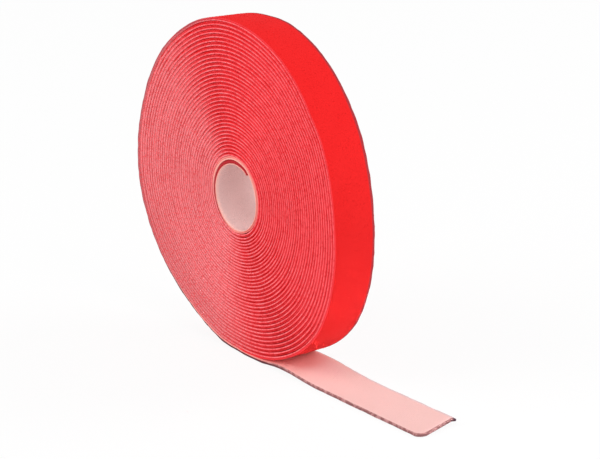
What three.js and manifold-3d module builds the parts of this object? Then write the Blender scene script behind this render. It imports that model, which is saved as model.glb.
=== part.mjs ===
// A roll of back-to-back hook and loop tape that stands on its rim, with its free tail on the floor.
// The tape is two sheets bonded back to back: a hook sheet inside each turn and a loop pile outside it.
// It has no core: the innermost turn is the wall of the bore.
// X runs along the tail, Y along the roll's axis and Z up. Lengths are in millimetres.
import * as THREE from 'three';
import { mergeVertices } from 'three/addons/utils/BufferGeometryUtils.js';
import Module from 'manifold-3d';

// The tape, with the bond film between its sheets left as a gap
const TAPE_WIDTH = 20;
const HOOK_THICKNESS = 0.7;
const LOOP_THICKNESS = 0.9;
const BOND_GAP = 0.3;

// The roll. Its loops stand for the real roll's 36, so they lie further apart than the real ones.
// Wound by hand, it has its bore a little off the middle, towards the tail and down.
const BORE_RADIUS = 14.7;
const BORE_OFFSET_X = 1.7;
const BORE_OFFSET_Z = -2.6;
const TURN_GAP = 0.57;
const WHOLE_LOOPS = 22;
const STEPS_PER_LOOP = 24;
const PART_LOOP_STEPS = 15;
const FOOT_DEPTH = 0.5;

// The tail, whose places are measured along the floor from the middle of the foot
const CLING_ANGLE = THREE.MathUtils.degToRad(15);
const LANDING_REACH = 58;
const FOLD_REACH = 60;
const FOLD_GAP = 0.3;
const TAIL_REACH = 122;
const END_SKEW = 6;
const END_CORNER_RADIUS = 2;
const RUN_OUT_STEPS = 7;
const RUN_OUT_HANDLE_SHARE = 1 / 3;
const CORNER_STEPS = 4;

const CUT_OVERRUN = 5;

const TAPE_THICKNESS = HOOK_THICKNESS + BOND_GAP + LOOP_THICKNESS;
const PITCH = TAPE_THICKNESS + TURN_GAP;
const STEP_ANGLE = 2 * Math.PI / STEPS_PER_LOOP;
const WINDING_STEPS = WHOLE_LOOPS * STEPS_PER_LOOP + PART_LOOP_STEPS;

// A flat of the outermost loop lies level at the bottom, so the winding ends half a step past it.
const BOTTOM_ANGLE = 1.5 * Math.PI;
const END_ANGLE = BOTTOM_ANGLE + STEP_ANGLE / 2;
const OUTER_RADIUS = BORE_RADIUS + PITCH * WINDING_STEPS / STEPS_PER_LOOP + TAPE_THICKNESS;
const MIDDLE_HEIGHT = OUTER_RADIUS * Math.cos(STEP_ANGLE / 2) - FOOT_DEPTH;

// How far each face of a sheet lies outside the hook face, which is the inside of every turn
const HOOK_FACES = { inner: 0, outer: HOOK_THICKNESS };
const LOOP_FACES = { inner: HOOK_THICKNESS + BOND_GAP, outer: TAPE_THICKNESS };
const TAPE_FACES = { inner: 0, outer: TAPE_THICKNESS };

const hookMaterial = new THREE.MeshStandardMaterial({ color: 0xf4c3bd, roughness: 0.55, metalness: 0 });
const loopMaterial = new THREE.MeshStandardMaterial({ color: 0xee2b30, roughness: 0.95, metalness: 0 });

const wasm = await Module();
wasm.setup();

// A station is a point on the hook face and the way out to the loop face, seen along Y.
// It is measured from the roll's middle.
function spiralStation(steps) {
  const angle = END_ANGLE + (steps - WINDING_STEPS) * STEP_ANGLE;
  const radius = BORE_RADIUS + PITCH * steps / STEPS_PER_LOOP;
  const outward = new THREE.Vector2(Math.cos(angle), Math.sin(angle));
  const boreShare = 1 - steps / WINDING_STEPS;
  const centre = new THREE.Vector2(BORE_OFFSET_X, BORE_OFFSET_Z).multiplyScalar(boreShare);
  return { point: centre.addScaledVector(outward, radius), outward };
}

// The tape clings to the roll a little past its lowest point.
function peelStation() {
  return spiralStation(WINDING_STEPS + (BOTTOM_ANGLE + CLING_ANGLE - END_ANGLE) / STEP_ANGLE);
}

// It leaves the roll along its tangent and comes down to the floor in one S curve.
function runOutStations(peel) {
  const landing = new THREE.Vector2(LANDING_REACH, TAPE_THICKNESS - MIDDLE_HEIGHT);
  const handle = RUN_OUT_HANDLE_SHARE * (landing.x - peel.point.x);
  const leaving = new THREE.Vector2(-peel.outward.y, peel.outward.x);
  const curve = new THREE.CubicBezierCurve(
    peel.point,
    peel.point.clone().addScaledVector(leaving, handle),
    landing.clone().setX(landing.x - handle),
    landing,
  );
  const stations = [];
  for (let step = 1; step <= RUN_OUT_STEPS; step++) {
    const tangent = curve.getTangent(step / RUN_OUT_STEPS);
    stations.push({
      point: curve.getPoint(step / RUN_OUT_STEPS),
      outward: new THREE.Vector2(tangent.y, -tangent.x),
    });
  }
  const foldPoint = landing.clone().setX(FOLD_REACH - FOLD_GAP / 2);
  stations.push({ point: foldPoint, outward: new THREE.Vector2(0, -1) });
  return stations;
}

function windingStations() {
  const stations = [];
  for (let step = 0; step <= WINDING_STEPS; step++) stations.push(spiralStation(step));
  const peel = peelStation();
  return [...stations, peel, ...runOutStations(peel)];
}

function facePoints(stations, offset) {
  return stations.map(({ point, outward }) => point.clone().addScaledVector(outward, offset));
}

// One unbroken band through the stations, as wide as the tape, closed by a flat face at each end
function bandGeometry(stations, faces) {
  const innerPoints = facePoints(stations, faces.inner);
  const outerPoints = facePoints(stations, faces.outer);
  const half = TAPE_WIDTH / 2;
  const sections = stations.map((station, index) => {
    const inner = innerPoints[index];
    const outer = outerPoints[index];
    return [
      [inner.x, -half, inner.y],
      [outer.x, -half, outer.y],
      [outer.x, half, outer.y],
      [inner.x, half, inner.y],
    ];
  });
  const cornerCount = sections[0].length;
  const triangles = [];
  for (let index = 0; index + 1 < sections.length; index++) {
    for (let corner = 0; corner < cornerCount; corner++) {
      const here = index * cornerCount + corner;
      const beside = index * cornerCount + (corner + 1) % cornerCount;
      triangles.push(here, beside + cornerCount, here + cornerCount);
      triangles.push(here, beside, beside + cornerCount);
    }
  }
  const last = (sections.length - 1) * cornerCount;
  triangles.push(0, 2, 1);
  triangles.push(0, 3, 2);
  triangles.push(last, last + 1, last + 2);
  triangles.push(last, last + 2, last + 3);
  const geometry = new THREE.BufferGeometry();
  geometry.setAttribute('position', new THREE.Float32BufferAttribute(sections.flat(2), 3));
  geometry.setIndex(triangles);
  return geometry;
}

function toSolid(geometry) {
  const bare = geometry.clone();
  bare.deleteAttribute('normal');
  bare.deleteAttribute('uv');
  const merged = mergeVertices(bare);
  return new wasm.Manifold(new wasm.Mesh({
    numProp: 3,
    vertProperties: new Float32Array(merged.attributes.position.array),
    triVerts: new Uint32Array(merged.index.array),
  }));
}

function toGeometry(solid) {
  const mesh = solid.getMesh();
  const geometry = new THREE.BufferGeometry();
  geometry.setAttribute('position', new THREE.BufferAttribute(mesh.vertProperties, 3));
  geometry.setIndex(new THREE.BufferAttribute(mesh.triVerts, 1));
  geometry.computeVertexNormals();
  return geometry;
}

// The roll's weight flattens its outermost loop where it stands.
function withFlatFoot(geometry) {
  const floorBlock = new THREE.BoxGeometry(
    2 * (OUTER_RADIUS + CUT_OVERRUN),
    TAPE_WIDTH + 2 * CUT_OVERRUN,
    FOOT_DEPTH + CUT_OVERRUN,
  );
  floorBlock.translate(0, 0, -MIDDLE_HEIGHT - (FOOT_DEPTH + CUT_OVERRUN) / 2);
  return toGeometry(toSolid(geometry).subtract(toSolid(floorBlock)));
}

function distanceToSegment(point, start, end) {
  const along = end.clone().sub(start);
  const share = THREE.MathUtils.clamp(point.clone().sub(start).dot(along) / along.lengthSq(), 0, 1);
  return point.distanceTo(start.clone().addScaledVector(along, share));
}

// The least distance from a band's outer face to its inner face at least half a loop further on
function leastGap(stations, faces) {
  const outerPoints = facePoints(stations, faces.outer);
  const innerPoints = facePoints(stations, faces.inner);
  let least = Infinity;
  outerPoints.forEach((point, index) => {
    for (let other = index + STEPS_PER_LOOP / 2; other + 1 < stations.length; other++) {
      least = Math.min(least, distanceToSegment(point, innerPoints[other], innerPoints[other + 1]));
    }
  });
  return least;
}

// The free end is cut by hand, a little askew, and its two corners are rounded.
function tailGeometry(thickness) {
  const half = TAPE_WIDTH / 2;
  const start = FOLD_GAP / 2;
  const nearEnd = new THREE.Vector2(TAIL_REACH - FOLD_REACH + END_SKEW / 2, -half);
  const farEnd = new THREE.Vector2(TAIL_REACH - FOLD_REACH - END_SKEW / 2, half);
  const cut = farEnd.clone().sub(nearEnd).setLength(END_CORNER_RADIUS);
  const outline = new THREE.Shape();
  outline.moveTo(start, -half);
  outline.lineTo(nearEnd.x - END_CORNER_RADIUS, -half);
  outline.quadraticCurveTo(nearEnd.x, nearEnd.y, nearEnd.x + cut.x, nearEnd.y + cut.y);
  outline.lineTo(farEnd.x - cut.x, farEnd.y - cut.y);
  outline.quadraticCurveTo(farEnd.x, farEnd.y, farEnd.x - END_CORNER_RADIUS, half);
  outline.lineTo(start, half);
  outline.closePath();
  return new THREE.ExtrudeGeometry(outline, {
    depth: thickness,
    bevelEnabled: false,
    curveSegments: CORNER_STEPS,
  });
}

function namedMesh(name, geometry, material) {
  const mesh = new THREE.Mesh(geometry, material);
  mesh.name = name;
  return mesh;
}

// Both sheets from the inner end in the bore to the fold line, placed from the roll's middle
function makeRoll() {
  const stations = windingStations();
  const hookBand = bandGeometry(stations, HOOK_FACES);
  const loopBand = withFlatFoot(bandGeometry(stations, LOOP_FACES));
  const roll = new THREE.Group();
  roll.add(namedMesh('hook_winding', hookBand, hookMaterial));
  roll.add(namedMesh('loop_winding', loopBand, loopMaterial));
  roll.position.z = MIDDLE_HEIGHT;
  const measured = { hook_winding: HOOK_FACES, loop_winding: LOOP_FACES, tape: TAPE_FACES };
  for (const [name, faces] of Object.entries(measured)) {
    console.log(`least gap of ${name} to itself, mm:`, leastGap(stations, faces).toFixed(3));
  }
  return roll;
}

// Both sheets from the fold line to the cut end, placed from the fold line on the floor
function makeTail() {
  const hookTail = namedMesh('hook_tail', tailGeometry(HOOK_THICKNESS), hookMaterial);
  hookTail.position.z = LOOP_THICKNESS + BOND_GAP;
  const loopTail = namedMesh('loop_tail', tailGeometry(LOOP_THICKNESS), loopMaterial);
  const tail = new THREE.Group();
  tail.add(hookTail, loopTail);
  tail.position.x = FOLD_REACH;
  return tail;
}

const tapeRoll = new THREE.Group();
tapeRoll.add(makeRoll(), makeTail());

export default tapeRoll;
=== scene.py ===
"""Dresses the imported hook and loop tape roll: its whole winding, its tail, its hooks and its pile."""
import math

import bpy
import numpy as np
from mathutils import Matrix, Vector


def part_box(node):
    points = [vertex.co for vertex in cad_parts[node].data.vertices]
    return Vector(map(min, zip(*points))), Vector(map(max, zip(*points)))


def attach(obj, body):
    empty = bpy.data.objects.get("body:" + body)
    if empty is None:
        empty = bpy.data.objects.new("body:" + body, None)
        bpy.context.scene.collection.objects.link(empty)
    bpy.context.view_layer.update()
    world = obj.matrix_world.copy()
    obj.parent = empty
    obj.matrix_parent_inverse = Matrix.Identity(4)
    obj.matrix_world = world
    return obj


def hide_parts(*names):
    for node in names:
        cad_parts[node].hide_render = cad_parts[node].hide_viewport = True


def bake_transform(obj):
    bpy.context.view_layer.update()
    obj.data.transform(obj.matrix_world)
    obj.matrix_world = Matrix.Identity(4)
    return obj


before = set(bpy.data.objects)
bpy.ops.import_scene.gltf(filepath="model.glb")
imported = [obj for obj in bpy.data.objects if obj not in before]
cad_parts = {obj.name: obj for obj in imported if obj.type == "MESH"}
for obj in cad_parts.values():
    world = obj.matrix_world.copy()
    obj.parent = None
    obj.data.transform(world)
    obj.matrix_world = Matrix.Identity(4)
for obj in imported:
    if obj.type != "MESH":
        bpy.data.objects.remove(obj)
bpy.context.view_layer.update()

# Lengths are in millimetres up to the making of a mesh, and s is the length along the tape.
MM = 0.001
TURN = 2 * math.pi

# The tape is as wide as in the CAD.
tail_low, tail_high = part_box("hook_tail")
HALF_WIDTH = (tail_high.y - tail_low.y) / 2 / MM

# The tape: its hook sheet lies inside each turn and its loop sheet outside it.
# It is thinnest in the tight inner turns, thicker at the foot and thickest where nothing presses it.
TIGHT_THICKNESS = 1.24
TAPE_THICKNESS = 1.52
FREE_THICKNESS = 1.70
HOOK_THICKNESS = 0.74
BOND_GAP = 0.02
EDGE_ROUNDING = 0.40
# Between the turns the loop sheet stands back from the hook sheet's edge. Elsewhere it is nearly flush.
LOOP_RECESS = 0.46
LOOP_INSET = 0.05

# The winding, as measured in the photograph: 37.6 turns from the inner end in the bore to the floor
INNER_END_ANGLE = math.radians(54)
FLOOR_ANGLE = math.radians(270)
WHOLE_TURNS = 37
SWEEP = WHOLE_TURNS * TURN + FLOOR_ANGLE - INNER_END_ANGLE
START_RADIUS = 14.1
END_OUTER_RADIUS = 71.87
BORE_OFFSET = np.array([0.8, -3.2])
# Its inner turns lie closer together than the outer ones and the innermost one hangs loose.
# Each pair is the degrees turned from the inner end and how far out of an even spiral the tape is.
UNEVENNESS = (
    (0, -1.05), (20, -0.95), (60, -0.94), (100, -0.63), (146, -0.42), (170, -0.56), (210, -0.65),
    (250, -0.89), (300, -1.28), (326, -1.42), (346, -1.12), (366, -0.46), (400, -0.36), (440, -0.25),
    (480, -0.14), (500, -0.18), (540, -0.32), (600, -0.51), (650, -0.80), (690, -0.79), (726, -0.33),
    (800, -0.27), (860, -0.19), (960, -0.38), (1020, -0.57), (1050, -0.60), (1086, -0.53), (1160, -0.49),
    (1240, -0.40), (1320, -0.47), (1400, -0.63), (1450, -0.62), (1520, -0.63), (1800, -0.70),
    (2160, -0.81), (2880, -1.01), (3600, -1.18), (4680, -1.38), (5760, -1.51), (7200, -1.57),
    (8640, -1.48), (10080, -1.25), (11520, -0.85), (12960, -0.28), (13536, 0.0),
)
# The outline's departure from a circle, as shares of the radius: order, cosine, sine
ROUNDNESS_SHARES = ((2, 0.0016, -0.0109), (3, -0.0199, -0.0051))
# Its finer departure from that: pairs of the degrees from the tail's side and how far out it is there
OUTLINE_BUMPS = (
    (0, 0.05), (10, -0.03), (20, 0.14), (30, 0.34), (40, -0.35), (50, -0.16), (60, -0.16), (70, -0.21),
    (80, -0.15), (90, -0.19), (100, 0.21), (110, 0.46), (120, 0.24), (130, 0.08), (140, -0.15),
    (150, -0.99), (160, -1.50), (170, -1.23), (180, -0.42), (190, 0.48), (200, 0.71), (210, 0.77),
    (220, 0.66), (230, 0.29), (240, 0.15), (250, 0.50), (260, 0.85), (270, 0.05), (280, 0.25),
    (290, 0.74), (300, 1.15), (310, 1.71), (320, 2.22), (330, 1.81), (340, 1.24), (350, 0.66),
)
# How much further out the turns lie at the near face, and further in at the far face, as such pairs
NEAR_FLARE = (
    (0, -0.05), (10, 0.00), (20, 0.23), (30, 0.15), (40, -0.25), (50, -0.09), (60, 0.15), (70, 0.10),
    (80, 0.24), (90, 0.68), (100, 0.68), (110, 0.50), (120, 0.42), (270, 0.42), (280, 0.30), (290, 0.20),
    (300, 0.12), (310, 0.14), (320, 0.19), (330, 0.15), (340, 0.03), (350, 0.08),
)
# The flare fades out over this angle before the foot.
FLARE_FADE = math.radians(48)

# How the turns lie on each other: a least gap, and the share of the spare room that closed tape takes up
LEAST_TURN_GAP = 0.03
CLOSED_SHARE = 0.7
CLOSES_AT_S = (62, 80)
# It opens again at the foot, by how low it lies: 0 is level with the roll's middle, 1 is straight below.
OPENS_AT_DROP = (0.5, 0.9)
# The pile that the loose innermost turn leaves unpressed, by the length along the tape
LOOSE_PILE = ((0, 0.66), (6, 0.74), (14, 0.78), (24, 0.56), (35, 0.36), (50, 0.34), (62, 0.0))
# Where the loop sheet is flush on the inner turns: up to the first pair, and between the other two
FLUSH_UP_TO_S = (46, 60)
FLUSH_AGAIN_FROM_S = (78, 86)
FLUSH_AGAIN_TO_S = (108, 130)

# The free tail's upper face: pairs of x and its height, along the near and the far edge
TAIL_NEAR_HEIGHTS = (
    (0, 1.60), (8.7, 1.60), (17.4, 1.72), (23.9, 2.60), (30.5, 3.15), (36.6, 2.85),
    (43, 2.35), (50, 1.78), (55.2, 1.70), (71.5, 1.70), (140, 1.70),
)
TAIL_FAR_HEIGHTS = (
    (0, 1.54), (8.7, 1.85), (17.4, 2.95), (23.9, 4.00), (29.5, 4.50), (37.9, 4.47),
    (44.8, 4.17), (56.4, 3.25), (68.2, 2.80), (79.8, 2.72), (110.9, 2.88), (120, 3.10), (140, 3.20),
)
TAIL_SMOOTHING = 3.0
# The roll's line changes over to the tail's between two places. The turns' pieces end at the seam.
MERGE_FROM_X = 0.0
MERGE_TO_X = 12.0
SEAM_X = -4.0

# The cut end: its skew for each millimetre across and the stretch that it takes up, and its corners
TAIL_END_X = 121.05
END_SKEW_SHARE = 0.19
END_SKEW_REACH = 25.0
NEAR_CORNER_RADIUS = 3.6
FAR_CORNER_RADIUS = 0.5
# A nib that the scissors left at the far corner, which thins out inside the loop sheet
NIB_LENGTH = 2.4
NIB_FROM_Y = 9.1
NIB_RISE = 0.6
NIB_CUT = 0.35
NIB_OUT_FADE = (0.8, 1.3)

# How finely the tape's line is measured on the roll and on the tail
SPIRAL_STEP = math.radians(0.4)
TAIL_STEP = 0.5
# The spiral runs on for this angle past the floor, and the line leaves it as much before the floor.
FOOT_ANGLE = math.radians(20)
# The line runs on past the cut end, which the nib needs.
PAST_THE_END = 12
# The tail has no next turn, so its pitch is plenty.
TAIL_PITCH = 10.0
# Over this last length of the line, x only grows.
TAIL_STRETCH = 200
# The tail's smoothing takes this many steps over its spread, and reaches this many spreads to each side.
STEPS_PER_SPREAD = 6
SMOOTHING_REACH = 3

# The stations of the pieces along the line
FIRST_STATION_STEP = 1.10
STATION_STEP_GROWTH = 0.32
STRIP_STATIONS = 260
CUT_END_STEPS = (NIB_CUT, 0.2, 0.1, 0.04, 0.0)
# A rounded edge from face to face: shares of the rounding inwards and of the thickness outwards
EDGE_PROFILE = ((1, 0), (0.3, 0.06), (0, 0.3), (0, 0.7), (0.3, 0.94), (1, 1))

# Over how long a stretch the bore ends, the rim begins and the tail comes free
BORE_FADE = 4
RIM_FADE = 6
FOOT_FADE = 20

# How the edges wander, by the spacing of the random values and how far they go: slow, ragged and frayed
DRIFT_SPACING = 30
DRIFT = 0.12
RAGGED_SPACING = 1.9
RAGGED_HOOK_TURNS = 0.06
RAGGED_LOOP_TURNS = 0.15
RAGGED_STRIP = 0.05
FRAY_SPACING = 3.5
TAIL_FRAY = 0.12
KNOTS_BEYOND = 5
HOOK_SEED = 10
LOOP_SEED = 20

# The moulded hooks: points from the root to the tip, as the reach forwards, the height and the radius
HOOK_SHAPE = (
    (0, -0.02, 0.075), (0, 0.16, 0.055), (0.05, 0.26, 0.05), (0.16, 0.27, 0.045), (0.24, 0.19, 0.03),
)
HOOK_HEIGHT = 0.28
HOOK_SIDES = 4
HOOK_PITCH_ALONG = 0.95
HOOK_PITCH_ACROSS = 0.90
HOOK_MARGIN = 0.8
HOOK_JITTER = 0.03
# On the tail they root this far inside the hook sheet, so less of them shows.
STRIP_HOOK_DEPTH = 0.1
BORE_HOOK_SEED = 31
STRIP_HOOK_SEED = 32

# The pile: arches of yarn, as shares of their length and of their height
ARCH_SHAPE = ((-0.5, -0.12), (-0.28, 0.85), (0.28, 0.85), (0.5, -0.12))
ARCH_LENGTHS = (0.45, 0.8)
ARCH_HEIGHT_SHARES = (0.6, 1.0)
YARN_RADIUS = 0.055
YARN_SIDES = 3
PILE_HEIGHT = 0.22
PILE_SHOWING = 0.08
PILE_PER_SQUARE_MM = 1.15
PILE_MARGIN = 0.5
RIM_PILE_SEED = 41
STRIP_PILE_SEED = 42

# How far hooks and pile keep from the inner end, the foot, the last turn's start, the seam and the cut end
HOOKS_FROM_S = 0.5
STRIP_HOOKS_PAST_FOOT = 9
RIM_PILE_PAST_START = 4
PILE_OFF_SEAM = 1
END_MARGIN = 0.8


def smoothstep(value, low, high):
    share = np.clip((value - low) / (high - low), 0, 1)
    return share * share * (3 - 2 * share)


def smooth_curve(pairs, x, spread):
    """The curve through the pairs at x, rounded off over about the spread"""
    step = spread / STEPS_PER_SPREAD
    reach = SMOOTHING_REACH * spread
    fine = np.arange(x.min() - reach - spread, x.max() + reach + spread, step)
    heights = np.interp(fine, *np.array(pairs, float).T)
    offsets = np.arange(-reach, reach + step / 2, step)
    weights = np.exp(-0.5 * (offsets / spread) ** 2)
    rounded = np.convolve(heights, weights / weights.sum(), mode="same")
    return np.interp(x, fine, rounded)


def around(pairs, angle):
    """The value at an angle from pairs of degrees and values that go once round"""
    degrees, values = np.array(pairs, float).T
    return np.interp(angle, np.radians(degrees), values, period=TURN)


def roundness(angle, share):
    """The outline's radius at an angle as a share of a circle's, which is even at the bore"""
    departure = around(OUTLINE_BUMPS, angle) / END_OUTER_RADIUS
    for order, cosine, sine in ROUNDNESS_SHARES:
        departure = departure + cosine * np.cos(order * angle) + sine * np.sin(order * angle)
    return 1 + departure * share ** 2


def spiral_points(turned):
    """Points of the hook face, as x and z from the roll's middle, after turning through these angles"""
    end_radius = END_OUTER_RADIUS - TAPE_THICKNESS
    share = turned / SWEEP
    radius = START_RADIUS + (end_radius - START_RADIUS) * share
    radius = radius + np.interp(np.degrees(turned), *np.array(UNEVENNESS).T)
    angle = INNER_END_ANGLE + turned
    reach = radius * roundness(angle, share)
    out = np.stack([np.cos(angle), np.sin(angle)], 1)
    return BORE_OFFSET * (1 - share)[:, None] + out * reach[:, None]


def tape_line():
    """Measures of the hook face's line, from the inner end to past the cut end, by the length s"""
    turned = np.arange(0, SWEEP + FOOT_ANGLE, SPIRAL_STEP)
    spiral = spiral_points(turned)
    on_foot = turned > SWEEP - FOOT_ANGLE
    middle_height = TAPE_THICKNESS + PILE_SHOWING - spiral[on_foot, 1].min()
    spiral[:, 1] += middle_height
    foot, wound, turned = spiral[on_foot], spiral[~on_foot], turned[~on_foot]

    tail_x = np.arange(wound[-1, 0] + TAIL_STEP, TAIL_END_X + PAST_THE_END, TAIL_STEP)
    near = smooth_curve(TAIL_NEAR_HEIGHTS, tail_x, TAIL_SMOOTHING)
    far = smooth_curve(TAIL_FAR_HEIGHTS, tail_x, TAIL_SMOOTHING)
    merged = smoothstep(tail_x, MERGE_FROM_X, MERGE_TO_X)
    height = (1 - merged) * np.interp(tail_x, foot[:, 0], foot[:, 1]) + merged * (near + far) / 2
    line = np.concatenate([wound, np.stack([tail_x, height], 1)])

    flare = around(NEAR_FLARE, INNER_END_ANGLE + turned) * turned / SWEEP
    flare = flare * (1 - smoothstep(turned, SWEEP - FLARE_FADE, SWEEP))
    pitch = np.linalg.norm(spiral_points(turned + TURN) - spiral_points(turned), axis=1)
    along = np.gradient(line, axis=0)
    along /= np.linalg.norm(along, axis=1)[:, None]
    return {
        "s": np.concatenate([[0], np.cumsum(np.linalg.norm(np.diff(line, axis=0), axis=1))]),
        "x": line[:, 0],
        "z": line[:, 1],
        "out_x": along[:, 1],
        "out_z": -along[:, 0],
        "twist": np.concatenate([np.zeros(len(wound)), merged * (far - near)]),
        "flare": np.concatenate([flare, np.zeros(len(tail_x))]),
        "pitch": np.concatenate([pitch, np.full(len(tail_x), TAIL_PITCH)]),
        "middle_height": middle_height,
    }


TAPE = tape_line()


def tape_at(s, *measures):
    """Measures of the tape's line at the length s"""
    return [np.interp(s, TAPE["s"], TAPE[measure]) for measure in measures]


def length_at_x(x):
    """The length along the tape at which the tail passes x"""
    late = TAPE["s"] > TAPE["s"][-1] - TAIL_STRETCH
    return float(np.interp(x, TAPE["x"][late], TAPE["s"][late]))


END_S = length_at_x(TAIL_END_X)
SEAM_S = length_at_x(SEAM_X)
FOOT_S = length_at_x(0.0)
LAST_TURN_S = FOOT_S - TURN * (END_OUTER_RADIUS - TAPE_THICKNESS)
FIRST_TURN_S = TURN * START_RADIUS


def place(s, y, out):
    """Points of the object, from the length along the tape, the place across it and the way out"""
    s, y, out = np.broadcast_arrays(np.asarray(s, float), np.asarray(y, float), np.asarray(out, float))
    to_end = END_S - s
    skewed = s - y * END_SKEW_SHARE * smoothstep(-to_end, -END_SKEW_REACH, 0)
    nib = smoothstep(-to_end, -NIB_CUT, 0) * smoothstep(y, NIB_FROM_Y, NIB_FROM_Y + NIB_RISE)
    skewed = skewed + NIB_LENGTH * nib * (1 - smoothstep(out, *NIB_OUT_FADE))
    corner_radius = np.where(y < 0, NEAR_CORNER_RADIUS, FAR_CORNER_RADIUS)
    rounding = np.clip(corner_radius - to_end, 0, corner_radius)
    narrowed = corner_radius - np.sqrt(corner_radius ** 2 - rounding ** 2)
    across = y * (1 - narrowed / HALF_WIDTH)
    x, z, out_x, out_z, twist, flare = tape_at(skewed, "x", "z", "out_x", "out_z", "twist", "flare")
    out = out - flare * across / HALF_WIDTH
    return np.stack([x + out * out_x, across, z + out * out_z + twist * across / (2 * HALF_WIDTH)], -1)


def in_bore(s):
    """1 on the innermost turn, whose hooks stand free, and 0 where the next turn covers them"""
    return 1 - smoothstep(s, FIRST_TURN_S - BORE_FADE, FIRST_TURN_S)


def outermost(s):
    """1 where the pile stands free, on the outermost turn and the tail, and 0 where it is pressed"""
    return smoothstep(s, LAST_TURN_S, LAST_TURN_S + RIM_FADE)


def off_the_roll(s):
    """1 on the tail, where nothing presses the tape thin, and 0 on the roll"""
    return smoothstep(s, FOOT_S, FOOT_S + FOOT_FADE)


def wander(seed, s, spacing, amplitude):
    """Seeded noise along the tape, with one random value per spacing"""
    margin = KNOTS_BEYOND * spacing
    knots = np.arange(-margin, TAPE["s"][-1] + margin, spacing)
    values = np.random.default_rng(seed).uniform(-amplitude, amplitude, len(knots))
    return np.interp(s, knots, values)


def edge_reach(edge, s, seeds, ragged):
    """How far a sheet reaches across to one of its edges, with that edge's own wandering"""
    drift_seed, ragged_seed, fray_seed = seeds
    reach = edge + wander(drift_seed, s, DRIFT_SPACING, DRIFT)
    reach = reach + wander(ragged_seed, s, RAGGED_SPACING, ragged)
    return reach + TAIL_FRAY * off_the_roll(s) * wander(fray_seed, s, FRAY_SPACING, 1)


def wound_thickness(s):
    """How thick the tape is: thin in the inner turns, open at the foot, and never into the next turn"""
    share = np.sqrt(np.clip(s / FOOT_S, 0, 1))
    thickness = TIGHT_THICKNESS + (TAPE_THICKNESS - TIGHT_THICKNESS) * share
    x, z, pitch = tape_at(s, "x", "z", "pitch")
    room = pitch - LEAST_TURN_GAP
    below = TAPE["middle_height"] - z
    opening = smoothstep(below / np.hypot(x, below), *OPENS_AT_DROP)
    closed = CLOSED_SHARE * smoothstep(s, *CLOSES_AT_S) * (1 - outermost(s)) * (1 - opening)
    return np.minimum(thickness + closed * np.maximum(room - thickness, 0), room)


def hook_faces(s):
    """How far out the hook sheet's two faces lie"""
    return HOOK_HEIGHT * in_bore(s), HOOK_THICKNESS * wound_thickness(s) / TAPE_THICKNESS


def loop_faces(s):
    """How far out the loop sheet's two faces lie"""
    thickness = wound_thickness(s) + (FREE_THICKNESS - TAPE_THICKNESS) * off_the_roll(s)
    thickness = thickness + np.interp(s, *np.array(LOOSE_PILE).T)
    return hook_faces(s)[1] + BOND_GAP, thickness - PILE_SHOWING * outermost(s)


def loop_edge(s):
    """How far the loop sheet reaches across"""
    flush_again = smoothstep(s, *FLUSH_AGAIN_FROM_S) * (1 - smoothstep(s, *FLUSH_AGAIN_TO_S))
    flush = outermost(s) + 1 - smoothstep(s, *FLUSH_UP_TO_S) + flush_again
    return HALF_WIDTH - LOOP_INSET - (LOOP_RECESS - LOOP_INSET) * (1 - flush)


def make_mesh(name, points, faces, tape):
    """A mesh from points in millimetres and rows of corners, with each point's place on the tape"""
    mesh = bpy.data.meshes.new(name)
    mesh.vertices.add(len(points))
    mesh.vertices.foreach_set("co", (points * MM).astype(np.float32).ravel())
    corners = np.concatenate([rows.ravel() for rows in faces])
    totals = np.concatenate([np.full(len(rows), rows.shape[1]) for rows in faces])
    mesh.loops.add(len(corners))
    mesh.loops.foreach_set("vertex_index", corners.astype(np.int32))
    mesh.polygons.add(len(totals))
    starts = np.concatenate([[0], np.cumsum(totals)[:-1]])
    mesh.polygons.foreach_set("loop_start", starts.astype(np.int32))
    mesh.polygons.foreach_set("loop_total", totals.astype(np.int32))
    mesh.polygons.foreach_set("use_smooth", np.ones(len(totals), bool))
    layer = mesh.attributes.new("tape", "FLOAT_VECTOR", "POINT")
    layer.data.foreach_set("vector", tape.astype(np.float32).ravel())
    mesh.update(calc_edges=True)
    mesh.validate()
    piece = bpy.data.objects.new(name, mesh)
    bpy.context.scene.collection.objects.link(piece)
    return piece


def ring_faces(rings, corners):
    """Quads between each ring and the next"""
    start = np.arange(rings - 1)[:, None] * corners
    here = np.arange(corners)[None]
    beside = (here + 1) % corners
    quads = [start + corner for corner in (here, beside, beside + corners, here + corners)]
    return np.stack(quads, -1).reshape(-1, 4)


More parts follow.
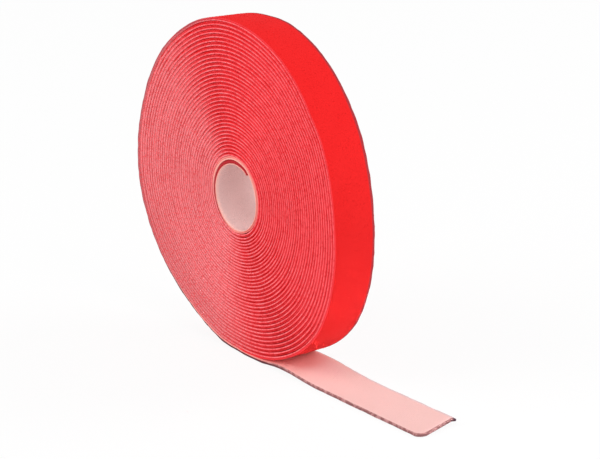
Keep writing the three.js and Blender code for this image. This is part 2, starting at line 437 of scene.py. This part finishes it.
def band(name, s, faces, edge, seed, ragged, between=()):
    """One closed sheet between its two faces, with lines along it at the edges and at places between"""
    inner, outer = faces
    rounding = np.minimum(EDGE_ROUNDING, (outer - inner) / 2)
    near = edge_reach(edge, s, (seed, seed + 1, seed + 4), ragged)
    far = edge_reach(edge, s, (seed + 2, seed + 3, seed + 5), ragged)
    middle = [np.full(len(s), float(y)) for y in between]
    y = [-(near - share_in * rounding) for share_in, _ in EDGE_PROFILE] + middle
    y += [far - share_in * rounding for share_in, _ in reversed(EDGE_PROFILE)] + middle[::-1]
    edge_out = [inner + share_out * (outer - inner) for _, share_out in EDGE_PROFILE]
    out = edge_out + [outer] * len(middle) + edge_out[::-1] + [inner] * len(middle)
    y, out = np.stack(y, 1), np.stack(out, 1)
    tape = np.stack([np.broadcast_to(s[:, None], y.shape), y, out], -1)
    corners = y.shape[1]
    # Each end is closed by quads between the points that lie opposite each other in its ring.
    tip = len(EDGE_PROFILE) // 2
    upper = np.arange(tip, tip + corners // 2)
    lower = (len(EDGE_PROFILE) - 1 - upper) % corners
    cap = np.stack([upper[:-1], upper[1:], lower[1:], lower[:-1]], 1)
    quads = [ring_faces(len(s), corners), cap[:, ::-1], cap + (len(s) - 1) * corners]
    return make_mesh(name, place(s[:, None], y, out).reshape(-1, 3), quads, tape.reshape(-1, 3))


def winding_stations():
    """Lengths from the inner end to the seam, closer together in the tight inner turns"""
    stations = [0.0]
    while stations[-1] < SEAM_S:
        growth = STATION_STEP_GROWTH * stations[-1] / SEAM_S
        stations.append(stations[-1] + FIRST_STATION_STEP + growth)
    stations[-1] = SEAM_S
    return np.array(stations)


def strip_stations():
    """Lengths from just past the seam to the cut end, closest together at the cut"""
    even = np.linspace(SEAM_S + BOND_GAP, END_S, STRIP_STATIONS)
    return np.unique(np.concatenate([even[:-1], END_S - np.array(CUT_END_STEPS)]))


def tubes(name, places, radii, sides, forwards):
    """Small closed tubes, one along each row of places on the tape, each facing its own way forwards"""
    s, y, out = places[..., 0], places[..., 1], places[..., 2]
    line = place(s, y, out)
    count, steps = s.shape
    along = np.gradient(line, axis=1)
    along /= np.linalg.norm(along, axis=2)[..., None]
    outwards = place(s[:, :1], y[:, :1], out[:, :1] + 1) - place(s[:, :1], y[:, :1], out[:, :1])
    side = np.cross(forwards, outwards[:, 0])[:, None]
    side = side / np.linalg.norm(side, axis=2)[..., None]
    side = np.broadcast_to(side, line.shape)
    normal = np.cross(side, along)
    normal /= np.linalg.norm(normal, axis=2)[..., None]
    angles = np.arange(sides) * TURN / sides
    spokes = np.cos(angles)[:, None] * side[:, :, None] + np.sin(angles)[:, None] * normal[:, :, None]
    points = line[:, :, None] + spokes * np.asarray(radii)[None, :, None, None]
    tape = np.broadcast_to(places[:, :, None], points.shape)
    starts = np.arange(count)[:, None] * steps * sides
    quads = (starts[:, None] + ring_faces(steps, sides)).reshape(-1, 4)
    first = starts + np.arange(sides)[::-1]
    last = starts + (steps - 1) * sides + np.arange(sides)
    return make_mesh(name, points.reshape(-1, 3), [quads, first, last], tape.reshape(-1, 3))


def hook_rows(name, s_from, s_to, face, seed):
    """Moulded hooks that stand on a face in rows along the tape, every other row facing the other way"""
    rows = int(2 * (HALF_WIDTH - HOOK_MARGIN) / HOOK_PITCH_ACROSS) + 1
    columns = int((s_to - s_from) / HOOK_PITCH_ALONG)
    row, column = np.meshgrid(np.arange(rows), np.arange(columns))
    row, column = row.ravel(), column.ravel()
    jitter = np.random.default_rng(seed).uniform(-HOOK_JITTER, HOOK_JITTER, len(row))
    s = s_from + (column + 0.5 * (row % 2)) * HOOK_PITCH_ALONG + jitter
    y = (row - (rows - 1) / 2) * HOOK_PITCH_ACROSS
    facing = np.where(row % 2 == 0, 1.0, -1.0)[:, None]
    reach, height, radii = np.array(HOOK_SHAPE).T
    places = np.stack(np.broadcast_arrays(s[:, None] + facing * reach, y[:, None], face - height), -1)
    along = place(s + 0.5, y, 0.0) - place(s - 0.5, y, 0.0)
    return tubes(name, places, radii, HOOK_SIDES, along * facing)


def pile_loops(name, s_from, s_to, seed):
    """Small arches of yarn, lying every way, that stand on the loop sheet"""
    random = np.random.default_rng(seed)
    half = HALF_WIDTH - PILE_MARGIN
    count = int((s_to - s_from) * 2 * half * PILE_PER_SQUARE_MM)
    s = random.uniform(s_from, s_to, count)
    y = random.uniform(-half, half, count)
    heading = random.uniform(0, TURN, count)
    length = random.uniform(*ARCH_LENGTHS, count)
    height = random.uniform(*ARCH_HEIGHT_SHARES, count) * PILE_HEIGHT
    along, up = np.array(ARCH_SHAPE).T
    places = np.stack([
        s[:, None] + np.cos(heading)[:, None] * length[:, None] * along,
        y[:, None] + np.sin(heading)[:, None] * length[:, None] * along,
        loop_faces(s)[1][:, None] + PILE_SHOWING - PILE_HEIGHT + height[:, None] * up,
    ], -1)
    starts, ends = (place(*places[:, end].T) for end in (0, -1))
    return tubes(name, places, np.full(len(along), YARN_RADIUS), YARN_SIDES, ends - starts)


def make_pieces():
    """The two sheets, each as its turns and its strip, and then the hooks and the pile on them"""
    wound = winding_stations()
    free = strip_stations()
    nib_line = [NIB_FROM_Y]
    bore_end = FIRST_TURN_S - BORE_FADE
    past_foot = FOOT_S + STRIP_HOOKS_PAST_FOOT
    rim_start = LAST_TURN_S + RIM_PILE_PAST_START
    near_end = END_S - END_MARGIN
    made = (
        band("hook_turns", wound, hook_faces(wound), HALF_WIDTH, HOOK_SEED, RAGGED_HOOK_TURNS),
        band("loop_turns", wound, loop_faces(wound), loop_edge(wound), LOOP_SEED, RAGGED_LOOP_TURNS),
        band("hook_strip", free, hook_faces(free), HALF_WIDTH, HOOK_SEED, RAGGED_STRIP, nib_line),
        band("loop_strip", free, loop_faces(free), loop_edge(free), LOOP_SEED, RAGGED_STRIP, nib_line),
        hook_rows("bore_hooks", HOOKS_FROM_S, bore_end, HOOK_HEIGHT, BORE_HOOK_SEED),
        hook_rows("strip_hooks", past_foot, near_end, STRIP_HOOK_DEPTH, STRIP_HOOK_SEED),
        pile_loops("rim_pile", rim_start, SEAM_S - PILE_OFF_SEAM, RIM_PILE_SEED),
        pile_loops("strip_pile", SEAM_S + PILE_OFF_SEAM, near_end, STRIP_PILE_SEED),
    )
    return {piece.name: piece for piece in made}


# In the materials, each pair says where a change begins and where it is complete.
# These lie along the tape from the foot. Where they are negative, they lie before it.
# The left rim is the outermost turn on the side away from the tail, which is the photograph's left.
ROOT_BOUNCE_COMES = (-60, -50)
ROOT_BOUNCE_GOES = (50, 12)
PAINTED_BOUNCE_GOES = (6, 0)
FAR_FACE_COMES_ALONG = (45, 60)
LEFT_RIM_SHADE_COMES = (-215, -185)
RIM_GOES = (0, -20)
RIDGE_PALES = (-70, -30)
RIDGE_TAIL_SHADE_COMES = (10, 30)
GROOVE_FOOT_SHADE_COMES = (-80, -35)
GROOVE_TAIL_SHADE_COMES = (20, 45)
# These lie along the inner turns, as shares of the first turn's length, and the last one as a length s.
ON_FIRST_TURN = (1.2, 1.0)
PAST_FIRST_TURN = (1.0, 1.2)
NEAR_BORE = (1.5, 1.25)
LOOSE_GROOVE_SHADE_AT_S = (52, 36)
# These lie inwards from the tape's edge, the last pair from the recessed loop sheet's edge.
BORE_MOUTH_LIGHT_COMES = (2.2, 0.4)
FAR_FACE_COMES_ACROSS = (1.3, 0.5)
PAINTED_BOUNCE_LIGHTENS = (0.60, 0.25)
HOOK_EDGE_COMES = (0.30, 0.10)
FAR_RIM_SHADE_COMES = (1.7, 1.0)
LOOP_EDGE_COMES = (0.25, 0.05)
# On the outermost turn the loop sheet's edge lies this far inwards.
RIM_EDGE_INSET = 0.11
# These lie inwards from the cut end, and the nib's second pair across from its line.
CUT_COMES = (0.15, 0.02)
NIB_COMES_ALONG = (0.3, 0.1)
NIB_COMES_ACROSS = (0, 0.5)
# These are ways out: from the tape's line, and from the hook sheet's face in the bore.
RIDGE_DEEPENS = (0.28, 0.68)
HOOK_BACK_COMES = (0.15, 0.3)

# The light and shade painted on the roll: each lies towards an angle in degrees, between two ends, by a
# share.
# The painted pale light and the painted even light go by the direction alone, and the painted shade at the
# foot and the painted light at the top by metres from the middle.
PAINTED_PALE_SIDE = 197
PAINTED_PALE_FADE = (0.05, 0.60)
PAINTED_EVEN_SIDE = 15
PAINTED_EVEN_FADE = (0.30, 0.90)
PAINTED_EVEN_SHARE = 0.6
SHADED_SIDE = 235
SHADED_FADE = (40 * MM, 72 * MM)
SHADED_SHARE = 0.5
UPWARDS = 90
PAINTED_TOP_LIGHT_FADE = (-60 * MM, 70 * MM)

# The noises, each by its scale and its detail. The mottling goes by metres, the others by the tape.
HOOK_CLOUDS = (0.12, 2)
HOOK_GRAIN = (1.1, 3)
RIDGE_MOTTLING = (220, 1)
RIDGE_DASHING = (0.8, 1)
GROOVE_BREAKING = (0.55, 2)
TAIL_SPOTS = (0.4, 2)
LOOP_CLOUDS = (0.10, 2)
LOOP_FIBRE = (2.6, 4)
# The values of a noise between which its spots begin and are complete
MOTTLED = (0.40, 0.62)
DASHED = (0.50, 0.64)
BROKEN = (0.42, 0.66)
RIDGE_SPOTTED = (0.42, 0.60)
GROOVE_SPOTTED = (0.45, 0.60)
# How much of a cover shows where it is complete
HOOK_GRAIN_SHARE = 0.12
FAR_FACE_SHARE = 0.6
RIDGE_PAINTED_PALE_SHARE = 0.7
RIDGE_DASHES_SHARE = 0.6
LOOP_FIBRE_SHARE = 0.15
GROOVE_PAINTED_PALE_SHARE = 0.85
GROOVE_BROKEN_SHARE = 0.4

# The hook sheet's colours, on its face and along its edge, which is the pale ridge of each turn.
# A pair is mixed by a noise, or goes from the plain colour to the one with painted pale light.
HOOK_FACE = ((0.800, 0.505, 0.478), (0.820, 0.530, 0.502))
HOOK_FACE_GRAIN = (0.82, 0.46, 0.43)
BORE_FACE = (0.78, 0.54, 0.52)
# Painted light that brightens the bore's face towards its mouths
BORE_FACE_PAINTED_MOUTH_LIGHT = (0.94, 0.60, 0.55)
# Painted red light bounced from the roll onto the tail's root
ROOT_PAINTED_BOUNCE = (1.00, 0.27, 0.25)
FAR_FACE = (0.66, 0.50, 0.53)
# Painted red light bounced from the pile onto the hook face between the turns, redder deep in and pinker
# near the edge
DEEP_PAINTED_BOUNCE = ((0.88, 0.05, 0.06), (0.92, 0.24, 0.26))
EDGE_PAINTED_BOUNCE = ((0.92, 0.11, 0.13), (0.95, 0.36, 0.38))
# The ridge's own mottled tone; its coral is partly painted red light bounced from the red turns around it
RIDGE = ((0.96, 0.155, 0.178), (1.00, 0.230, 0.257))
# Painted pale light on the ridges on the side away from the tail
RIDGE_PAINTED_PALE_LIGHT = (0.95, 0.29, 0.31)
RIDGE_DEEP = (0.95, 0.050, 0.060)
# Painted even light on the ridges on the side towards the tail, less pale than the plain ridge
RIDGE_PAINTED_EVEN_LIGHT = (0.97, 0.112, 0.130)
# Painted shade on the ridge of the left rim
RIDGE_LEFT_RIM_PAINTED_SHADE = (0.60, 0.150, 0.165)
# Painted shade on the ridges of the lowest turns away from the tail
RIDGE_SHADED = (0.63, 0.175, 0.180)
RIDGE_DASHES = (0.80, 0.035, 0.045)
# Painted light near the bore, which makes the ridge peach
RIDGE_BORE_PAINTED_LIGHT = (0.96, 0.42, 0.36)
RIDGE_BEFORE_FOOT = (0.93, 0.34, 0.31)
# Painted shade that browns the hook sheet's edge along the tail
RIDGE_TAIL_PAINTED_SHADE = ((0.40, 0.17, 0.165), (0.62, 0.32, 0.31))
# Painted shade that darkens the nib
NIB_PAINTED_SHADE = (0.10, 0.045, 0.07)
HOOK_SURFACE = {"Roughness": 0.55, "Specular IOR Level": 0.03}
HOOK_BUMP = 0.35

# The loop sheet's colours, on its face and along its edge, which is the red groove between the ridges
# The loop face's red, with painted shade low on the roll and painted light at its top
LOOP_FACE_PAINTED_LOW_SHADE = ((0.655, 0.0165, 0.0168), (0.685, 0.0203, 0.0200))
LOOP_FACE_PAINTED_TOP_LIGHT = ((0.820, 0.0168, 0.0180), (0.850, 0.0206, 0.0212))
LOOP_FACE_FIBRE = (0.64, 0.009, 0.012)
GROOVE = ((0.62, 0.018, 0.024), (0.80, 0.032, 0.040))
# Painted pale light on the grooves on the side away from the tail
GROOVE_PAINTED_PALE_LIGHT = (0.92, 0.23, 0.25)
GROOVE_BROKEN = (0.92, 0.075, 0.088)
# Painted even light that lightens the grooves' shade on the side towards the tail
GROOVE_PAINTED_EVEN_LIGHT = (0.96, 0.098, 0.116)
# Painted shade on the grooves of the lowest turns away from the tail
GROOVE_SHADED = (0.50, 0.055, 0.058)
GROOVE_OUTERMOST = (0.86, 0.045, 0.055)
# Painted shade on the groove of the left rim
GROOVE_LEFT_RIM_PAINTED_SHADE = (0.50, 0.110, 0.125)
# Painted shade on the outermost groove just before the foot
GROOVE_FOOT_PAINTED_SHADE = (0.13, 0.045, 0.055)
# Painted light near the bore, which makes the groove coral pink
GROOVE_BORE_PAINTED_LIGHT = (0.94, 0.28, 0.25)
# Painted shade on the loose innermost turn's groove
GROOVE_LOOSE_PAINTED_SHADE = (0.46, 0.026, 0.034)
# Painted shade that browns the loop sheet's edge along the tail
GROOVE_TAIL_PAINTED_SHADE = ((0.29, 0.13, 0.13), (0.52, 0.27, 0.265))
# Painted shade along the rim's far edge
FAR_RIM_PAINTED_SHADE = (0.38, 0.040, 0.048)
LOOP_SURFACE = {
    "Roughness": 0.95,
    "Specular IOR Level": 0.02,
    "Sheen Weight": 0.06,
    "Sheen Roughness": 0.5,
    "Sheen Tint": (1.0, 0.35, 0.35),
}
LOOP_BUMP = 0.6
BUMP_DISTANCE = 0.1 * MM


def past(start, pair):
    return start + pair[0], start + pair[1]


def short_of(limit, pair):
    return limit - pair[0], limit - pair[1]


class Nodes:
    """Builds one node material with few words"""

    def __init__(self, name):
        self.material = bpy.data.materials.new(name)
        self.material.use_nodes = True
        self.tree = self.material.node_tree
        self.tree.nodes.clear()

    def fill(self, socket, value):
        """Links a socket to another one, or sets it to a value"""
        if isinstance(value, bpy.types.NodeSocket):
            self.tree.links.new(value, socket)
        elif socket.type == "RGBA" and len(value) == 3:
            socket.default_value = (*value, 1)
        else:
            socket.default_value = value

    def add(self, kind, inputs=(), **settings):
        node = self.tree.nodes.new(kind)
        for key, value in settings.items():
            setattr(node, key, value)
        for key, value in dict(inputs).items():
            self.fill(node.inputs[key], value)
        return node

    def math(self, operation, *values):
        node = self.add("ShaderNodeMath", dict(enumerate(values)), operation=operation)
        return node.outputs[0]

    def both(self, *shares):
        return self.math("MULTIPLY", *shares)

    def either(self, *shares):
        return self.math("MAXIMUM", *shares)

    def ramp(self, value, none, full):
        """0 up to one value and 1 from the other on, smoothly, where either may be the higher one"""
        inputs = {"Value": value, "From Min": none, "From Max": full}
        return self.add("ShaderNodeMapRange", inputs, interpolation_type="SMOOTHSTEP").outputs["Result"]

    def mix(self, share, first, second):
        """A mix of two colours, by the node's inputs for a share and for colours"""
        return self.add("ShaderNodeMix", {0: share, 6: first, 7: second}, data_type="RGBA").outputs[2]

    def layers(self, colour, *covers):
        """The colour under its covers, each a share and a colour"""
        for share, cover in covers:
            colour = self.mix(share, colour, cover)
        return colour

    def noise(self, vector, scale, detail):
        inputs = {"Vector": vector, "Scale": scale, "Detail": detail}
        return self.add("ShaderNodeTexNoise", inputs).outputs[0]

    def finish(self, shader):
        self.add("ShaderNodeOutputMaterial", {"Surface": shader})
        return self.material


class SheetNodes(Nodes):
    """The nodes of a sheet's material, which know each place on the tape and on the roll"""

    def __init__(self, name):
        super().__init__(name)
        self.tape = self.add("ShaderNodeAttribute", attribute_name="tape").outputs["Vector"]
        self.s, self.y, self.out = self.add("ShaderNodeSeparateXYZ", {"Vector": self.tape}).outputs
        self.across = self.math("ABSOLUTE", self.y)
        self.spot = self.add("ShaderNodeTexCoord").outputs["Object"]
        self.x, _, z = self.add("ShaderNodeSeparateXYZ", {"Vector": self.spot}).outputs
        self.z = self.math("SUBTRACT", z, TAPE["middle_height"] * MM)

    def reach(self, degrees):
        """How far a place lies from the roll's middle towards an angle"""
        angle = math.radians(degrees)
        x_part = self.math("MULTIPLY", self.x, math.cos(angle))
        return self.math("ADD", x_part, self.math("MULTIPLY", self.z, math.sin(angle)))

    def towards(self, degrees):
        """How nearly a place lies in a direction from the roll's middle: 1 where it lies right in it"""
        squares = [self.math("MULTIPLY", part, part) for part in (self.x, self.z)]
        radius = self.math("SQRT", self.math("ADD", *squares))
        return self.math("DIVIDE", self.reach(degrees), radius)

    def painted_pale_light(self):
        """1 on the side of the roll away from the tail, where its turns get painted pale light, and 0
        elsewhere
        """
        return self.ramp(self.towards(PAINTED_PALE_SIDE), *PAINTED_PALE_FADE)

    def painted_even_light(self):
        """How much painted light evens the turns on the side of the roll towards the tail, lightening the
        grooves' shade and making the ridges less pale
        """
        return self.both(self.ramp(self.towards(PAINTED_EVEN_SIDE), *PAINTED_EVEN_FADE), PAINTED_EVEN_SHARE)

    def shaded_foot(self):
        """How much painted shade darkens the roll's lowest turns away from the tail"""
        return self.both(self.ramp(self.reach(SHADED_SIDE), *SHADED_FADE), SHADED_SHARE)

    def from_foot(self, pair):
        return self.ramp(self.s, *past(FOOT_S, pair))

    def from_bore(self, pair):
        return self.ramp(self.s, FIRST_TURN_S * pair[0], FIRST_TURN_S * pair[1])

    def on_last_turn(self):
        return self.ramp(self.s, LAST_TURN_S, LAST_TURN_S + RIM_FADE)

    def tail_edge_shade(self, fade, colours):
        """The tail's edge, browned in spots by painted shade"""
        return self.mix(self.ramp(self.noise(self.tape, *TAIL_SPOTS), *fade), *colours)

    def whole_sheet(self, face, edge, on_edge):
        """The colour of the face and the edge, with the edge's on the cut and painted shade on the nib"""
        on_edge = self.either(on_edge, self.ramp(self.s, *short_of(END_S, CUT_COMES)))
        nib = self.both(
            self.ramp(self.s, *short_of(END_S, NIB_COMES_ALONG)),
            self.ramp(self.y, *past(NIB_FROM_Y, NIB_COMES_ACROSS)),
        )
        return self.layers(face, (on_edge, edge), (nib, NIB_PAINTED_SHADE))

    def surface(self, colour, settings, height, bump):
        """The finished material, from its shader's settings, a height and how strongly that shows"""
        inputs = {"Height": height, "Strength": bump, "Distance": BUMP_DISTANCE}
        normal = self.add("ShaderNodeBump", inputs).outputs[0]
        inputs = {"Base Color": colour, "Normal": normal, **settings}
        return self.finish(self.add("ShaderNodeBsdfPrincipled", inputs).outputs[0])


def hook_face_colour(nodes, grain):
    """The hook face: pale on the tail and in the bore, with painted light: brighter at the bore's mouths,
    painted red bounce at the tail's root, and painted red light from the pile between the turns
    """
    bore_mouth_light = nodes.ramp(nodes.across, *short_of(HALF_WIDTH, BORE_MOUTH_LIGHT_COMES))
    bore_face = nodes.mix(bore_mouth_light, BORE_FACE, BORE_FACE_PAINTED_MOUTH_LIGHT)
    root = nodes.both(nodes.from_foot(ROOT_BOUNCE_COMES), nodes.from_foot(ROOT_BOUNCE_GOES))
    far_face = nodes.both(
        nodes.ramp(nodes.y, *short_of(HALF_WIDTH, FAR_FACE_COMES_ACROSS)),
        nodes.from_foot(FAR_FACE_COMES_ALONG),
    )
    pale = nodes.painted_pale_light()
    light = nodes.ramp(nodes.across, *short_of(HALF_WIDTH, PAINTED_BOUNCE_LIGHTENS))
    glow = nodes.mix(light, nodes.mix(pale, *DEEP_PAINTED_BOUNCE), nodes.mix(pale, *EDGE_PAINTED_BOUNCE))
    return nodes.layers(
        nodes.mix(nodes.noise(nodes.tape, *HOOK_CLOUDS), *HOOK_FACE),
        (nodes.both(grain, HOOK_GRAIN_SHARE), HOOK_FACE_GRAIN),
        (nodes.from_bore(ON_FIRST_TURN), bore_face),
        (root, ROOT_PAINTED_BOUNCE),
        (nodes.both(far_face, FAR_FACE_SHARE), FAR_FACE),
        (nodes.both(nodes.from_bore(PAST_FIRST_TURN), nodes.from_foot(PAINTED_BOUNCE_GOES)), glow),
    )


def hook_edge_colour(nodes):
    """The hook sheet's edge: a mottled pink ridge, partly painted red bounce, with painted light and shade
    by place, and painted shade that browns it along the tail
    """
    mottled = nodes.ramp(nodes.noise(nodes.spot, *RIDGE_MOTTLING), *MOTTLED)
    dashes = nodes.ramp(nodes.noise(nodes.tape, *RIDGE_DASHING), *DASHED)
    left_rim_shade = nodes.both(nodes.from_foot(LEFT_RIM_SHADE_COMES), nodes.from_foot(RIM_GOES))
    return nodes.layers(
        nodes.mix(mottled, *RIDGE),
        (nodes.both(nodes.painted_pale_light(), RIDGE_PAINTED_PALE_SHARE), RIDGE_PAINTED_PALE_LIGHT),
        (nodes.ramp(nodes.out, *RIDGE_DEEPENS), RIDGE_DEEP),
        (nodes.painted_even_light(), RIDGE_PAINTED_EVEN_LIGHT),
        (left_rim_shade, RIDGE_LEFT_RIM_PAINTED_SHADE),
        (nodes.shaded_foot(), RIDGE_SHADED),
        (nodes.both(dashes, RIDGE_DASHES_SHARE), RIDGE_DASHES),
        (nodes.from_bore(NEAR_BORE), RIDGE_BORE_PAINTED_LIGHT),
        (nodes.from_foot(RIDGE_PALES), RIDGE_BEFORE_FOOT),
        (nodes.from_foot(RIDGE_TAIL_SHADE_COMES), nodes.tail_edge_shade(RIDGE_SPOTTED, RIDGE_TAIL_PAINTED_SHADE)),
    )


def hook_material():
    nodes = SheetNodes("hook_sheet_moulded")
    grain = nodes.noise(nodes.tape, *HOOK_GRAIN)
    on_edge = nodes.either(
        nodes.ramp(nodes.across, *short_of(HALF_WIDTH, HOOK_EDGE_COMES)),
        nodes.ramp(nodes.out, *past(HOOK_HEIGHT, HOOK_BACK_COMES)),
    )
    colour = nodes.whole_sheet(hook_face_colour(nodes, grain), hook_edge_colour(nodes), on_edge)
    return nodes.surface(colour, HOOK_SURFACE, grain, HOOK_BUMP)


def loop_face_colour(nodes, fibre):
    """The loop face: a brushed red, with painted light making it lighter towards the top of the roll"""
    cloudy = nodes.noise(nodes.tape, *LOOP_CLOUDS)
    high = nodes.ramp(nodes.reach(UPWARDS), *PAINTED_TOP_LIGHT_FADE)
    face = nodes.mix(high, nodes.mix(cloudy, *LOOP_FACE_PAINTED_LOW_SHADE), nodes.mix(cloudy, *LOOP_FACE_PAINTED_TOP_LIGHT))
    return nodes.mix(nodes.both(fibre, LOOP_FIBRE_SHARE), face, LOOP_FACE_FIBRE)


def loop_edge_colour(nodes, fibre):
    """The loop sheet's edge: a red groove, with painted light and shade by place, painted shade towards
    the foot of the roll and brown painted shade along the tail
    """
    broken = nodes.ramp(nodes.noise(nodes.tape, *GROOVE_BREAKING), *BROKEN)
    return nodes.layers(
        nodes.mix(fibre, *GROOVE),
        (nodes.both(nodes.painted_pale_light(), GROOVE_PAINTED_PALE_SHARE), GROOVE_PAINTED_PALE_LIGHT),
        (nodes.both(broken, GROOVE_BROKEN_SHARE), GROOVE_BROKEN),
        (nodes.painted_even_light(), GROOVE_PAINTED_EVEN_LIGHT),
        (nodes.shaded_foot(), GROOVE_SHADED),
        (nodes.on_last_turn(), GROOVE_OUTERMOST),
        (nodes.from_foot(LEFT_RIM_SHADE_COMES), GROOVE_LEFT_RIM_PAINTED_SHADE),
        (nodes.from_foot(GROOVE_FOOT_SHADE_COMES), GROOVE_FOOT_PAINTED_SHADE),
        (nodes.from_bore(NEAR_BORE), GROOVE_BORE_PAINTED_LIGHT),
        (nodes.ramp(nodes.s, *LOOSE_GROOVE_SHADE_AT_S), GROOVE_LOOSE_PAINTED_SHADE),
        (nodes.from_foot(GROOVE_TAIL_SHADE_COMES), nodes.tail_edge_shade(GROOVE_SPOTTED, GROOVE_TAIL_PAINTED_SHADE)),
    )


def loop_material():
    nodes = SheetNodes("loop_pile_brushed")
    fibre = nodes.noise(nodes.tape, *LOOP_FIBRE)
    rim = nodes.both(nodes.on_last_turn(), nodes.from_foot(RIM_GOES))
    # Painted shade along the rim's far edge
    far_rim_shade = nodes.both(rim, nodes.ramp(nodes.y, *short_of(HALF_WIDTH, FAR_RIM_SHADE_COMES)))
    face = nodes.mix(far_rim_shade, loop_face_colour(nodes, fibre), FAR_RIM_PAINTED_SHADE)
    edge = nodes.mix(far_rim_shade, loop_edge_colour(nodes, fibre), FAR_RIM_PAINTED_SHADE)
    # On the rim the sheet reaches further across, and its edge's colour moves out with it.
    across = nodes.math("SUBTRACT", nodes.across, nodes.both(rim, LOOP_RECESS - RIM_EDGE_INSET))
    on_edge = nodes.ramp(across, *short_of(HALF_WIDTH - LOOP_RECESS, LOOP_EDGE_COMES))
    return nodes.surface(nodes.whole_sheet(face, edge, on_edge), LOOP_SURFACE, fibre, LOOP_BUMP)


pieces = make_pieces()
materials = {"hook": hook_material(), "loop": loop_material()}
for name, piece in pieces.items():
    sheet = "hook" if "hook" in name else "loop"
    piece.data.materials.append(materials[sheet])
    if "strip" in name:
        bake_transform(piece)
    else:
        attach(piece, "roll")
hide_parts("hook_winding")
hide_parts("loop_winding")
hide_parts("hook_tail")
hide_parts("loop_tail")


# The camera, fitted to the outlines in the photograph. Its place is in metres and its lens in millimetres.
CAMERA_AZIMUTH = math.radians(54.254)
CAMERA_ELEVATION = math.radians(18.222)
CAMERA_ROLL = math.radians(-0.959)
CAMERA_PLACE = Vector((1.01731, -0.70919, 0.46009))
CAMERA_LENS = 188.24
CAMERA_SENSOR_WIDTH = 36
CAMERA_CLIP_END = 50

# The studio, in metres and watts
FLOOR_REACH = 12
FLOOR_COLOUR = (0.9, 0.9, 0.9, 1)
FLOOR_GLOW_SHARE = 0.9
WHITE = (1, 1, 1, 1)
STUDIO_STRENGTH = 0.54


def make_camera():
    level_share = math.cos(CAMERA_ELEVATION)
    back = Vector((
        math.sin(CAMERA_AZIMUTH) * level_share,
        -math.cos(CAMERA_AZIMUTH) * level_share,
        math.sin(CAMERA_ELEVATION),
    ))
    level = Vector((math.cos(CAMERA_AZIMUTH), math.sin(CAMERA_AZIMUTH), 0))
    upright = back.cross(level)
    right = math.cos(CAMERA_ROLL) * level + math.sin(CAMERA_ROLL) * upright
    up = -math.sin(CAMERA_ROLL) * level + math.cos(CAMERA_ROLL) * upright
    camera = bpy.data.objects.new("camera", bpy.data.cameras.new("camera"))
    camera.data.sensor_fit = "HORIZONTAL"
    camera.data.sensor_width = CAMERA_SENSOR_WIDTH
    camera.data.lens = CAMERA_LENS
    camera.data.clip_end = CAMERA_CLIP_END
    turn = Matrix((right, up, back)).transposed()
    camera.matrix_world = Matrix.Translation(CAMERA_PLACE) @ turn.to_4x4()
    bpy.context.scene.collection.objects.link(camera)
    bpy.context.scene.camera = camera


def seen_share(tree):
    """1 for the rays that should find a plain white studio, and 0 for those that light the object"""
    path = tree.nodes.new("ShaderNodeLightPath")
    share = path.outputs["Is Camera Ray"]
    for name in ("Is Glossy Ray", "Is Transmission Ray"):
        either = tree.nodes.new("ShaderNodeMath")
        either.operation = "MAXIMUM"
        tree.links.new(share, either.inputs[0])
        tree.links.new(path.outputs[name], either.inputs[1])
        share = either.outputs[0]
    return share


def make_floor():
    mesh = bpy.data.meshes.new("floor")
    corners = [(x * FLOOR_REACH, y * FLOOR_REACH, 0) for x, y in ((-1, -1), (1, -1), (1, 1), (-1, 1))]
    mesh.from_pydata(corners, [], [(0, 1, 2, 3)])
    floor = bpy.data.objects.new("floor", mesh)
    bpy.context.scene.collection.objects.link(floor)
    nodes = Nodes("floor_white")
    diffuse = nodes.add("ShaderNodeBsdfDiffuse", {"Color": FLOOR_COLOUR})
    glow = nodes.add("ShaderNodeEmission", {"Color": WHITE, "Strength": 1.0})
    share = nodes.both(seen_share(nodes.tree), FLOOR_GLOW_SHARE)
    mixed = nodes.add("ShaderNodeMixShader", {0: share, 1: diffuse.outputs[0], 2: glow.outputs[0]})
    mesh.materials.append(nodes.finish(mixed.outputs[0]))


def make_world():
    """A plain world that lights the object evenly and is white where it is seen"""
    world = bpy.data.worlds.new("studio")
    world.use_nodes = True
    bpy.context.scene.world = world
    tree = world.node_tree
    background = tree.nodes["Background"]
    background.inputs["Color"].default_value = WHITE
    level = tree.nodes.new("ShaderNodeMapRange")
    level.inputs["To Min"].default_value = STUDIO_STRENGTH
    level.inputs["To Max"].default_value = 1.0
    tree.links.new(seen_share(tree), level.inputs["Value"])
    tree.links.new(level.outputs["Result"], background.inputs["Strength"])


def make_lamp(name, place_at, size, power, aim=(0, 0, TAPE["middle_height"] * MM), spread=180):
    """A square lamp that faces its aim, with its spread in degrees"""
    lamp = bpy.data.objects.new(name, bpy.data.lights.new(name, "AREA"))
    lamp.data.size = size
    lamp.data.energy = power
    lamp.data.spread = math.radians(spread)
    lamp.location = place_at
    lamp.rotation_mode = "QUATERNION"
    lamp.rotation_quaternion = (Vector(aim) - Vector(place_at)).to_track_quat("-Z", "Y")
    bpy.context.scene.collection.objects.link(lamp)


make_camera()
make_floor()
make_world()
make_lamp("key", (-0.6, -1.3, 1.1), size=1.2, power=15)
make_lamp("fill", (1.3, -0.1, 1.15), size=1.2, power=4.8)
make_lamp("back", (0.6, 1.3, 0.9), size=1.0, power=11)
make_lamp("low", (0.45, 0.02, 0.13), size=0.20, power=0.30)
make_lamp("root", (0.40, 0.0, 0.09), size=0.05, power=0.0040, aim=(0.03, 0, 0.010), spread=10)
bpy.context.scene.view_settings.view_transform = "Standard"
